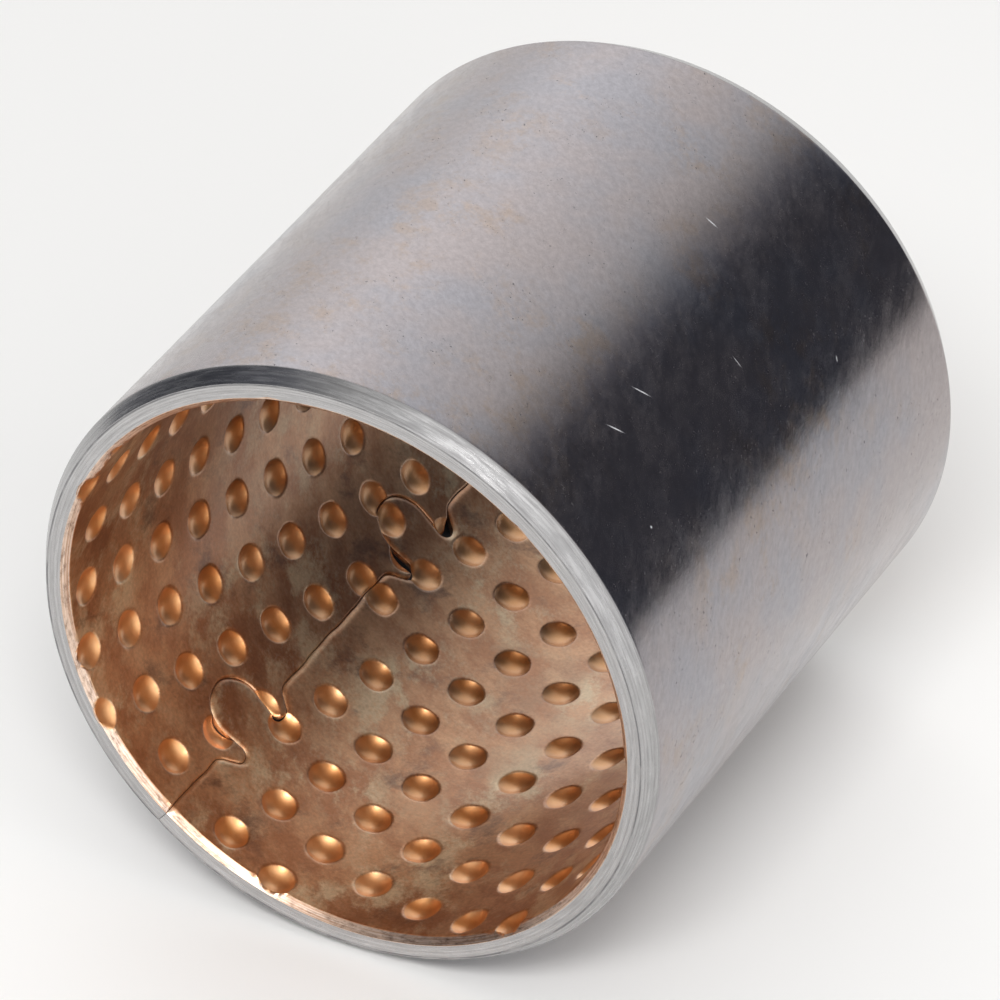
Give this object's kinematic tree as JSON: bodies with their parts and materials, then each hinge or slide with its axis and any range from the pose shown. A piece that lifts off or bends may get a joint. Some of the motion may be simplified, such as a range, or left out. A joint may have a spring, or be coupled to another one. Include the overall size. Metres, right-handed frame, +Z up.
{
  "type": "wrapped sleeve bushing",
  "caption": "Thin-walled wrapped bimetal sleeve bushing: steel shell with a bronze lining, grease pockets all over the bore, chamfered ends and a clinched seam.",
  "frame": {"origin": "centre of the bushing: on the bore axis, half way between the two end faces", "axes": "+Y along the bore axis; +Z up as the bushing lies on its side; the clinched seam is at the lower left seen from the -Y end"},
  "size_m": [0.05, 0.05, 0.05],
  "materials": {
    "backing_steel": "bare low-carbon steel, rolled and turned, dull silver grey with faint staining",
    "lining_bronze": "sintered tin bronze, satin pinkish brown on the lands and bright orange gold in the pressed pockets"
  },
  "bodies": {
    "root": {"steel_backing": "backing_steel", "bronze_lining": "lining_bronze"}
  },
  "joints": []
}
